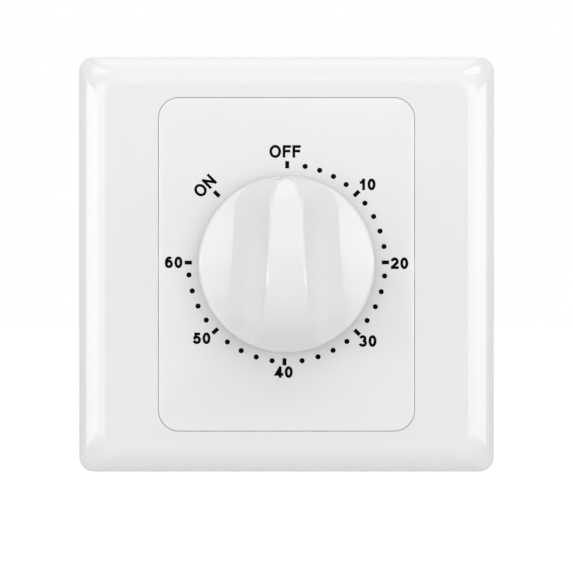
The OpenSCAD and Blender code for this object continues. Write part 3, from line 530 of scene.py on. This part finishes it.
# Each label's middle in millimetres from the middle of the scale, and its turn in degrees
labels = [
    ("OFF", (-0.36, 23.13), 0),
    ("ON", (-17.0, 15.97), 45),
    ("10", (16.7, 16.3), 0),
    ("20", (23.3, 0.0), 0),
    ("30", (16.73, -16.07), 0),
    ("40", (-0.64, -22.5), 0),
    ("50", (-17.6, -15.5), 0),
    ("60", (-23.4, 0.2), 0),
]
for word, at, turn in labels:
    cap = number_cap if word.isdigit() else word_cap
    weight = number_weight if word.isdigit() else word_weight
    half = weight / 2
    bm = bmesh.new()
    left = 0
    for letter in word:
        wide, lines = strokes[letter]
        for line in lines:
            path = [Vector((left + half + x * (wide - weight), half + y * (1 - weight))) for x, y in line]
            # A straight stroke ends square, half its weight further on
            if len(line) < 4:
                path[0] += (path[0] - path[1]).normalized() * half
                path[-1] += (path[-1] - path[-2]).normalized() * half
            closed = (path[0] - path[-1]).length < seam
            edges = []
            for i, point in enumerate(path):
                before = path[i - 1] if i else (path[-2] if closed else point)
                after = path[i + 1] if i + 1 < len(path) else (path[1] if closed else point)
                into = (point - before).normalized() if point != before else (after - point).normalized()
                away = (after - point).normalized() if point != after else into
                along = (into + away).normalized()
                side = Vector((-along.y, along.x)) * half / max(mitre_limit, along.dot(into))
                edges.append((point + side, point - side))
            verts = [[bm.verts.new((p.x, p.y, 0)) for p in pair] for pair in edges]
            for (a, b), (c, d) in zip(verts, verts[1:]):
                bm.faces.new((a, b, d, c))
        left += wide + letter_gap
    bmesh.ops.remove_doubles(bm, verts=bm.verts, dist=seam)
    lifted = bmesh.ops.extrude_face_region(bm, geom=bm.faces[:])["geom"]
    upper = [g for g in lifted if isinstance(g, bmesh.types.BMVert)]
    bmesh.ops.translate(bm, verts=upper, vec=(0, 0, 1))
    bmesh.ops.translate(bm, verts=bm.verts, vec=(-(left - letter_gap) / 2, -0.5, -0.5))
    bmesh.ops.scale(bm, verts=bm.verts, vec=(cap, cap, ink_t))
    bmesh.ops.rotate(bm, verts=bm.verts, matrix=Matrix.Rotation(math.radians(turn), 3, "Z"))
    bmesh.ops.rotate(bm, verts=bm.verts, matrix=Matrix.Rotation(math.pi / 2, 3, "X"))
    across = at[0] * mm + scale_at[0]
    up = at[1] * mm + scale_at[1]
    bmesh.ops.translate(bm, verts=bm.verts, vec=(across, face_y, up))
    place_piece(bm, "label_" + word.lower(), ink, "base")

# Cover frame
# The square frame hides the screws and snaps onto the base. It is one glossy white moulding whose front
# rolls down in a wide soft edge and meets the four sides in a fine line.
cover_roll = 6 * mm
roll_end = math.radians(66)
cover_corner = 3 * mm
cover_wall = 2.2 * mm
cover_crease = 18
window_gap = 0.045 * mm
cover_h = cover_hi.y - cover_lo.y


def rolled_block(side, front_y, back_y, roll, corner):
    """A square block whose front rolls over to an edge at its sides, with rounded corners."""
    bm = bmesh.new()
    bmesh.ops.create_cube(bm, size=1)
    bmesh.ops.scale(bm, verts=bm.verts, vec=(side, back_y - front_y, side))
    bmesh.ops.translate(bm, verts=bm.verts, vec=(0, (front_y + back_y) / 2, 0))
    front_edges = [e for e in bm.edges if all(v.co.y < front_y + mm / 10 for v in e.verts)]
    bmesh.ops.bevel(bm, geom=front_edges, offset=roll, segments=16, profile=0.5, affect="EDGES",
                    material=-1)
    mitre = []
    for edge in bm.edges:
        start, end = (v.co for v in edge.verts)
        if start.x * end.x > 0 and start.z * end.z > 0:
            mitre.append(edge)
    bmesh.ops.bevel(bm, geom=mitre, offset=corner, segments=8, profile=0.5, affect="EDGES", material=-1)
    # The quarter round of the bevel becomes a flatter arc that ends at roll_end
    arc_r = roll / math.sin(roll_end)
    for vert in bm.verts:
        depth = min(vert.co.y - front_y, roll)
        if vert.co.y < front_y + 1.1 * roll:
            vert.co.y = front_y + arc_r - math.sqrt(arc_r ** 2 - roll ** 2 + (roll - depth) ** 2)
    return bm


bm = rolled_block(cover_side, cover_lo.y, cover_hi.y, cover_roll, cover_corner)
cover = place_piece(bm, "cover_frame", cover_white, "base", ["outer_frame"], cover_crease)
bm = rolled_block(cover_side - 2 * cover_wall, cover_lo.y + cover_wall, cover_hi.y + mm,
                  cover_roll - cover_wall, cover_corner - cover_wall)
carve(cover, bm)
bm = rounded_block(dial_w + 2 * window_gap, 2 * cover_h, dial_l + 2 * window_gap, dial_corner + window_gap,
                   cover_lo.y - mm)
carve(cover, bm)
# A notch in the lower edge for lifting the frame off, and four latch tongues
pry_w = 12 * mm
pry_h = 1.4 * mm
latch_w = 8 * mm
latch_x = 20 * mm
latch_in = 39.2 * mm
latch_out = 40.4 * mm
latch_end = -0.4 * mm
latch_root = -6.9 * mm
latch_barb = 0.9 * mm
bm = bmesh.new()
add_block(bm, (-pry_w / 2, -pry_h, -cover_side), (pry_w / 2, mm, -cover_side / 2 + 1.5 * cover_wall))
carve(cover, bm)
bm = bmesh.new()
for side in (-1, 1):
    for middle in (-latch_x, latch_x):
        reach = sorted((side * latch_in, side * latch_out))
        add_hook(bm, middle, latch_w, *reach, latch_end, latch_root, -side * latch_barb)
add_to(cover, bm, cover_crease)
level = cover.modifiers.new("even_shading", "WEIGHTED_NORMAL")
level.keep_sharp = True

# Knob
# A domed disc with a tall bar across it, moulded in one in glossy white plastic. The bar narrows to a
# rounded pointer at the top, its flanks are hollow, and its lower end falls away to the rim.
# The knob's lengths are in millimetres: u to the right, v up and heights from its back.
knob_lo, knob_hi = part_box("knob")
knob_y = knob_hi.y
knob_r = (knob_hi.x - knob_lo.x) / 2 / mm
# The disc, and the hollow underside with its ceiling, hub and bore for the shaft
dome_h = 8
dome_r = 80
rim_fillet = 0.7
hollow_r = 16.15
ceiling_h = 3.9
hub_r = 5.4
hub_end = 0.4
bore_r = 3.08
bore_top = 11.5
# Width of the bar: its half at the middle, its taper and bow, and where tail, nose and tip draw in
bar_half = 3.9
bar_taper = 0.075
bar_bow = 0.0036
tail_from = -11
tail_in = 0.05
nose_from = 11.2
nose_in = 0.1
tip_from = 15.5
tip_in = 0.05
# Top line of the bar: its height, crown and peak, the fall at the tail and the roll at the nose
bar_h = (knob_hi.y - knob_lo.y) / mm
crown_r = 52
peak_at = -3.5
fall_r = 13.9
fall_end = -15.2
roll_from = 9.5
roll_r = 8
# Flanks of the bar, and the rounding where they meet its top
flank_lean = 0.3
flank_hollow = 0.022
crest_r = 0.5


def rounded_crest(ridge, flank):
    """The lower of two heights, with a small rounding where the ridge meets the steep flank."""
    lean = flank_lean / math.hypot(1, flank_lean)
    past_ridge = crest_r - ridge
    past_flank = crest_r - lean * flank
    middle = (past_ridge + lean * past_flank) / (1 + lean ** 2)
    span = middle ** 2 - (past_ridge ** 2 + past_flank ** 2 - crest_r ** 2) / (1 + lean ** 2)
    height = math.sqrt(max(0, span)) - middle
    if span > 0 and ridge - height < crest_r and lean * (flank - height) < crest_r:
        return height
    return min(ridge, flank)


def dome_height(u, v):
    """Height of the disc at u to the right and v up, in millimetres."""
    return dome_h - dome_r + math.sqrt(dome_r ** 2 - u ** 2 - v ** 2)


def bar_height(u, v):
    """Height of the bar, which goes on below the face of the disc."""
    bend_r = fall_r if v < peak_at else crown_r
    bend_at = max(v, fall_end) - peak_at
    rise = math.sqrt(bend_r ** 2 - bend_at ** 2)
    ridge = bar_h - bend_r + rise + min(0, v - fall_end) * -bend_at / rise
    ridge -= max(0, v - roll_from) ** 2 / (2 * roll_r)
    half = bar_half - bar_taper * v - bar_bow * v ** 2
    half -= tail_in * max(0, tail_from - v) ** 2 + nose_in * max(0, v - nose_from) ** 2
    half -= tip_in * max(0, v - tip_from) ** 4
    out = abs(u) - half
    if out < 0:
        drop = out / flank_lean
    else:
        drop = (math.sqrt(flank_lean ** 2 + 4 * flank_hollow * out) - flank_lean) / (2 * flank_hollow)
    return rounded_crest(ridge, bar_h - drop)


weld = mm / 10000


def turned(bm, profile, steps):
    """Spins a line of radius and height round the knob's axis."""
    line = [bm.verts.new((0, knob_y - height * mm, r * mm)) for r, height in profile]
    edges = [bm.edges.new(pair) for pair in zip(line, line[1:])]
    bmesh.ops.spin(bm, geom=line + edges, cent=(0, 0, 0), axis=(0, 1, 0), angle=2 * math.pi, steps=steps,
                   use_merge=True)
    bmesh.ops.remove_doubles(bm, verts=bm.verts, dist=weld)


# The knob's white is the cover's glossy white painted a little darker: painted shade, so that the knob's
# flanks come out darker.
knob_shaded_white = moulded_plastic("knob_shaded_white", (0.77, 0.77, 0.78), roughness=0.12, grain=0.9 * mm,
                             depth=0.002 * mm)
knob_shaded_white.node_tree.nodes["Principled BSDF"].inputs["IOR"].default_value = gloss_ior
knob_crease = 40
face_r = knob_r - rim_fillet
face_steps = 24
fillet_steps = 8
disc_turns = 180
profile = []
for i in range(face_steps + 1):
    out = face_r * i / face_steps
    profile.append((out, dome_height(0, out)))
rim_h = profile[-1][1]
for i in range(1, fillet_steps + 1):
    lean = math.pi / 2 * i / fillet_steps
    profile.append((face_r + rim_fillet * math.sin(lean), rim_h + rim_fillet * (math.cos(lean) - 1)))
# Down the rim, and along the underside to the bore
profile += [(knob_r, 0), (hollow_r, 0), (hollow_r, ceiling_h), (hub_r, ceiling_h), (hub_r, hub_end)]
profile += [(bore_r, hub_end), (bore_r, bore_top), (0, bore_top)]
bm = bmesh.new()
turned(bm, profile, disc_turns)
knob = place_piece(bm, "knob_cap", knob_shaded_white, "knob", ["knob"], knob_crease)
# The bar: a flat disc lifted to its height, without what lies in the dome, closed by a flat floor
bar_reach = knob_r - 0.25
bar_sunk = 1
bar_floor = 4.4
bar_rings = 200
bar_turns = 480
disc_line = [(bar_reach * i / bar_rings, 0) for i in range(bar_rings + 1)]
disc_wall = [(bar_reach, -1)]
bm = bmesh.new()
turned(bm, disc_line + disc_wall, bar_turns)
buried = set()
for vert in bm.verts:
    u = vert.co.x / mm
    v = vert.co.z / mm
    low = dome_height(u, v) - bar_sunk
    high = bar_height(u, v)
    if vert.co.y > knob_y + mm / 2 or high <= low:
        buried.add(vert)
        high = low
    vert.co.y = knob_y - high * mm
below = [f for f in bm.faces if all(v in buried for v in f.verts)]
bmesh.ops.delete(bm, geom=below, context="FACES")
bmesh.ops.remove_doubles(bm, verts=bm.verts, dist=weld)
foot = [e for e in bm.edges if e.is_boundary]
sides = bmesh.ops.extrude_edge_only(bm, edges=foot)["geom"]
for vert in [g for g in sides if isinstance(g, bmesh.types.BMVert)]:
    vert.co.y = knob_y - bar_floor * mm
foot = [e for e in bm.edges if e.is_boundary]
bmesh.ops.holes_fill(bm, edges=foot, sides=0)
add_to(knob, bm, knob_crease)
# Four ribs stiffen the hollow between the hub and the rim
rib_t = 1.2
rib_inner = 5.2
rib_outer = 16.3
rib_top = 4
rib_end = 0.2
bm = bmesh.new()
for turn in (45, 135, 225, 315):
    made = add_block(bm, (rib_inner * mm, knob_y - rib_top * mm, -rib_t * mm / 2),
                     (rib_outer * mm, knob_y - rib_end * mm, rib_t * mm / 2))
    bmesh.ops.rotate(bm, verts=made, matrix=Matrix.Rotation(math.radians(turn), 3, "Y"))
add_to(knob, bm, knob_crease)
